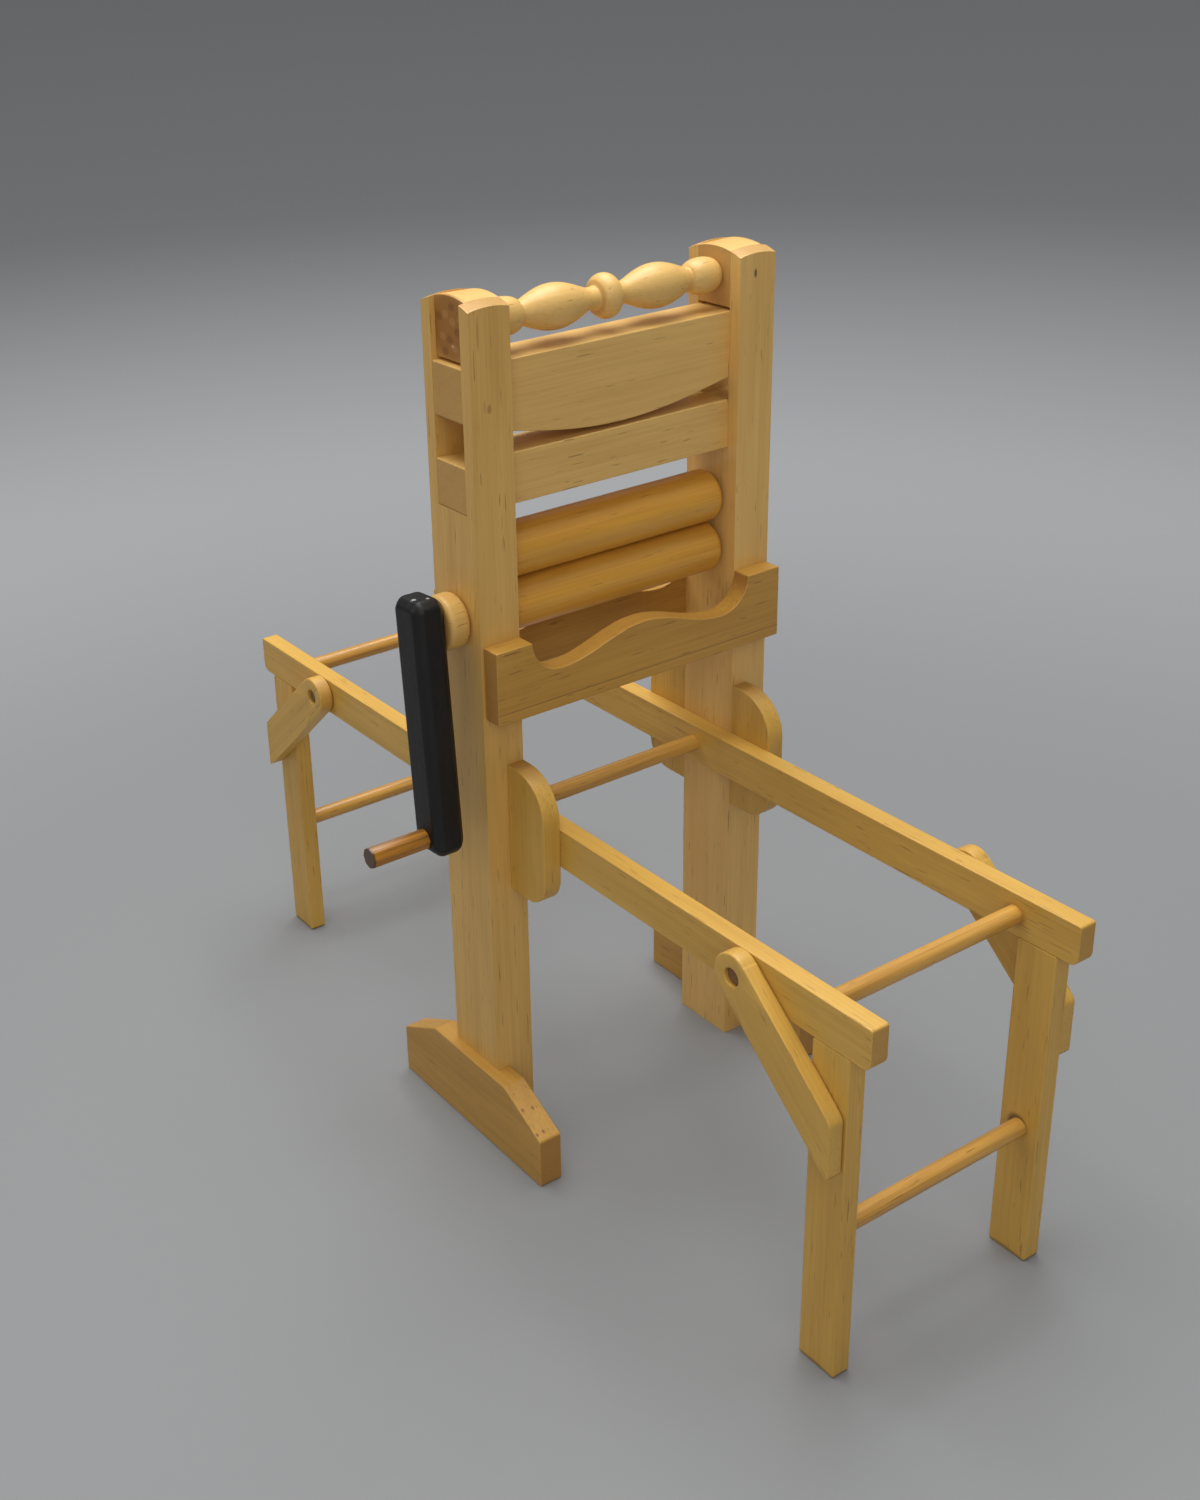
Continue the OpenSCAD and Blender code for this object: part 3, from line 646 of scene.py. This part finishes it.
rollerLook = dict(edge=1.25, rim=7, wobble=0.006, pitch=0.55, steps=96)
axleLook = dict(edge=0.2, steps=40)
bossLook = dict(edge=0.95, rim=6, steps=72)
for node, body in (("lower_roller", "crank"), ("upper_roller", "upper_roller")):
    centre, x, r = boxRod(node, rollerLook["edge"], rollerLook["rim"])
    r = waver(x, r, rollerLook, centre[1])
    addPiece(node.replace("_r", "R"), [turned(x, r, centre, rollerLook["steps"])], body,
             pine(node + "Stain", "x", (), rollerWood), node)
for node, body in (("crank_axle", "crank"), ("upper_axle", "upper_roller")):
    centre, x, r = boxRod(node, axleLook["edge"])
    addPiece(node.replace("_a", "A"), [turned(x, r, centre, axleLook["steps"])], body,
             pine(node + "Stain", "x", (), darkPeg), node)
centre, x, r = boxRod("crank_boss", bossLook["edge"], bossLook["rim"])
addPiece("crankBoss", [turned(x, r, centre, bossLook["steps"])], "crank",
         pine("bossPine", "x"), "crank_boss")
print("rollers made")

# crank arm: above and below are measured from the axle, tilt is in degrees

armLook = dict(width=6.6, above=4.6, below=33.1, chamfer=1.1, tilt=4.0, ease=0.42)
paintLook = dict(deep=(0.0045, 0.004, 0.004), dull=(0.015, 0.0135, 0.0125), roughness=0.36, bump=0.05,
                 brush=(1.2, 1.2, 0.18), lumps=(0.9, 0.9, 0.9), coat=0.04, coatRoughness=0.35,
                 specular=0.36, white=(0.42, 0.42, 0.40), bare=(0.16, 0.085, 0.035))
axleZ = joints["crank_spin"]["pos_m"][2] / mm


def hung(points, tilt):
    # turned about the axle, so that the arm's lower end comes forward
    c, s = math.cos(math.radians(-tilt)), math.sin(math.radians(-tilt))
    y, z = points[:, 1], points[:, 2]
    return np.stack([points[:, 0], y * c - z * s, y * s + z * c + axleZ], 1)


armLow, armHigh = boxMm("crank_arm")
halfW, cut, below, above = armLook["width"] / 2, armLook["chamfer"], -armLook["below"], armLook["above"]
shape = [(-halfW + cut, below), (halfW - cut, below), (halfW, below + cut), (halfW, above - cut),
         (halfW - cut, above), (-halfW + cut, above), (-halfW, above - cut), (-halfW, below + cut)]
points, faces = plate(shape, armLow[0], armHigh[0], "x", cut, 1)
topZ = axleZ + above
chips = [((armLow[0] + 1.3, -0.4, topZ), (0.5, 0.45, 0.6), paintLook["white"], 0.9),
         ((armLow[0] + 3.0, -1.3, topZ), (0.35, 0.35, 0.6), paintLook["white"], 0.8),
         ((armHigh[0] - 0.5, -2.2, topZ - 1.0), (1.0, 1.2, 1.6), paintLook["bare"], 0.6)]
addPiece("crankArm", [(hung(points, armLook["tilt"]), faces)], "crank",
         paintFinish("armPaint", paintLook, chips), "crank_arm", armLook["ease"])

# handle: whittled to eight flats outside the arm, round inside it

handleLook = dict(up=2.6, radius=1.55, grip=3.0, shank=1.4, shankEdge=0.1, steps=32, corner=0.16,
                  edge=0.12, lap=0.001, endTint=(0.07, 0.03, 0.012), endSize=(0.5, 3, 3), endAmount=0.9,
                  streakAt=(5.0, -0.9, -1.25), streakSize=(4.6, 0.25, 0.25), streakAmount=0.7)
handleX = boxMm("crank_handle")[0][0]
handleZ = handleLook["up"] - armLook["below"]
flats = arc((0, handleZ), handleLook["radius"], 0, 315, 8)
points, faces = plate(soften(flats, handleLook["corner"], 3), handleX, armLow[0] + handleLook["lap"],
                      "x", handleLook["edge"])
shankX, shankR = roundedRod(armLow[0], armLow[0] + handleLook["grip"], handleLook["shank"],
                            handleLook["shankEdge"])
inside, insideFaces = turned(shankX, shankR, (0, handleZ), handleLook["steps"])
gripY, gripZ = hung(np.array([[0, 0, handleZ]]), armLook["tilt"])[0][1:]
streakX, streakY, streakZ = handleLook["streakAt"]
marks = [((handleX, gripY, gripZ), handleLook["endSize"], handleLook["endTint"], handleLook["endAmount"]),
         ((handleX + streakX, gripY + streakY, gripZ + streakZ), handleLook["streakSize"],
          handleLook["endTint"], handleLook["streakAmount"])]
addPiece("crankHandle", [(hung(points, armLook["tilt"]), faces),
                         (hung(inside, armLook["tilt"]), insideFaces)],
         "crank", pine("handleAmber", "x", marks, handleWood), "crank_handle")
print("crank made")

# floor, lights and room, in metres; near, painted glow and far painted light are the floor's tints
# outwards from the middle: the glow band is painted lighter and the far floor is lifted as painted light,
# and nearReach, paintedGlowReach and farPaintedLightReach say in millimetres how far out each goes over
# into the next

studio = dict(nearTint=(0.25, 0.254, 0.258), paintedGlowTint=(0.375, 0.381, 0.39), farPaintedLightTint=(0.30, 0.305, 0.31),
              nearReach=110, paintedGlowReach=340, farPaintedLightReach=850, paper=(0.3, 0.3, 0.3), paperBump=0.02,
              flat=0.75, rim=1.7, rise=0.75, worldTint=(0.88, 0.885, 0.89), worldLight=0.35,
              aim=(0.0, 0.0, 0.06))
panels = {"keyPanel": dict(place=(0.03, 0.10, 0.62), size=0.5, power=4.1),
          "fillPanel": dict(place=(-0.35, -0.55, 0.40), size=0.6, power=1.3),
          "sidePanel": dict(place=(-0.48, 0.26, 0.36), size=0.22, power=0.2)}


def dish(look, rings=40, steps=96):
    # a flat disc whose outer part lifts as one minus a cosine, the same all the way round
    r = np.linspace(0, look["rim"], rings + 1)[1:]
    part = np.clip((r - look["flat"]) / (look["rim"] - look["flat"]), 0, 1)
    z = look["rise"] * (1 - np.cos(part * math.pi / 2))
    a = np.linspace(0, tau, steps, endpoint=False)
    grid = np.stack([r[:, None] * np.cos(a), r[:, None] * np.sin(a),
                     np.broadcast_to(z[:, None], (rings, steps))], -1)
    c = np.arange(steps)
    middle = np.stack([np.full(steps, rings * steps), c, (c + 1) % steps], 1)
    faces = [face[::-1] for face in gridFaces(rings, steps)] + middle.tolist()
    return np.concatenate([grid.reshape(-1, 3), [[0, 0, 0]]]), faces


floorPoints, floorFaces = dish(studio)
floorMesh = bpy.data.meshes.new("studioFloor")
floorMesh.from_pydata(floorPoints.tolist(), [], floorFaces)
floorMesh.shade_smooth()
floor = bpy.data.objects.new("studioFloor", floorMesh)
bpy.context.scene.collection.objects.link(floor)
floorMaterial, tree = newTree("floorPaperPaintedGlow")
spot = millimetres(tree)
paper = noise(tree, spot, studio["paper"], 2.0)
reach = distance(tree, spot)
# painted light: the floor's colour is lighter in a glow band out from the middle and lifted far out, in
# place of the lamps' glow and fall-off
tint = blendColour(tree, between(tree, reach, studio["nearReach"], studio["paintedGlowReach"]),
                   rgba(studio["nearTint"]), rgba(studio["paintedGlowTint"]))
tint = blendColour(tree, between(tree, reach, studio["paintedGlowReach"], studio["farPaintedLightReach"]), tint,
                   rgba(studio["farPaintedLightTint"]))
finishTree(tree, tint, paper * 0.1 + 0.6, paper, studio["paperBump"] * mm, {})
floorMesh.materials.append(floorMaterial)

world = bpy.data.worlds.new("softRoom")
world.use_nodes = True
background = world.node_tree.nodes["Background"]
background.inputs["Color"].default_value = rgba(studio["worldTint"])
background.inputs["Strength"].default_value = studio["worldLight"]
bpy.context.scene.world = world

for name, panel in panels.items():
    data = bpy.data.lights.new(name, "AREA")
    data.size, data.energy = panel["size"], panel["power"]
    light = bpy.data.objects.new(name, data)
    light.location = panel["place"]
    facing = Vector(studio["aim"]) - Vector(panel["place"])
    light.rotation_euler = facing.to_track_quat("-Z", "Y").to_euler()
    bpy.context.scene.collection.objects.link(light)

# camera: place in millimetres from the middle of the posts, turns in degrees

cameraLook = dict(place=(-151.47, -194.80, 181.05), yaw=32.38, pitch=-24.38, roll=-2.813,
                  lens=44.309, sensor=36.0, shift=(0.1024, -0.0504), nearest=0.01, farthest=20)
yaw, pitch, roll = (math.radians(cameraLook[k]) for k in ("yaw", "pitch", "roll"))
forward = np.array([math.sin(yaw) * math.cos(pitch), math.cos(yaw) * math.cos(pitch), math.sin(pitch)])
right = np.array([math.cos(yaw), -math.sin(yaw), 0.0])
above = np.cross(right, forward)
rolledRight = right * math.cos(roll) + above * math.sin(roll)
rolledUp = -right * math.sin(roll) + above * math.cos(roll)
cameraData = bpy.data.cameras.new("mainView")
cameraData.lens, cameraData.sensor_width = cameraLook["lens"], cameraLook["sensor"]
cameraData.shift_x, cameraData.shift_y = cameraLook["shift"]
cameraData.clip_start, cameraData.clip_end = cameraLook["nearest"], cameraLook["farthest"]
camera = bpy.data.objects.new("mainView", cameraData)
bpy.context.scene.collection.objects.link(camera)
turnMatrix = Matrix([[rolledRight[i], rolledUp[i], -forward[i]] for i in range(3)])
place = (np.array(cameraLook["place"]) + [centreX, 0, 0]) * mm
camera.matrix_world = Matrix.Translation(place.tolist()) @ turnMatrix.to_4x4()
bpy.context.scene.camera = camera
bpy.context.scene.view_settings.view_transform = "Standard"
print("stage made")
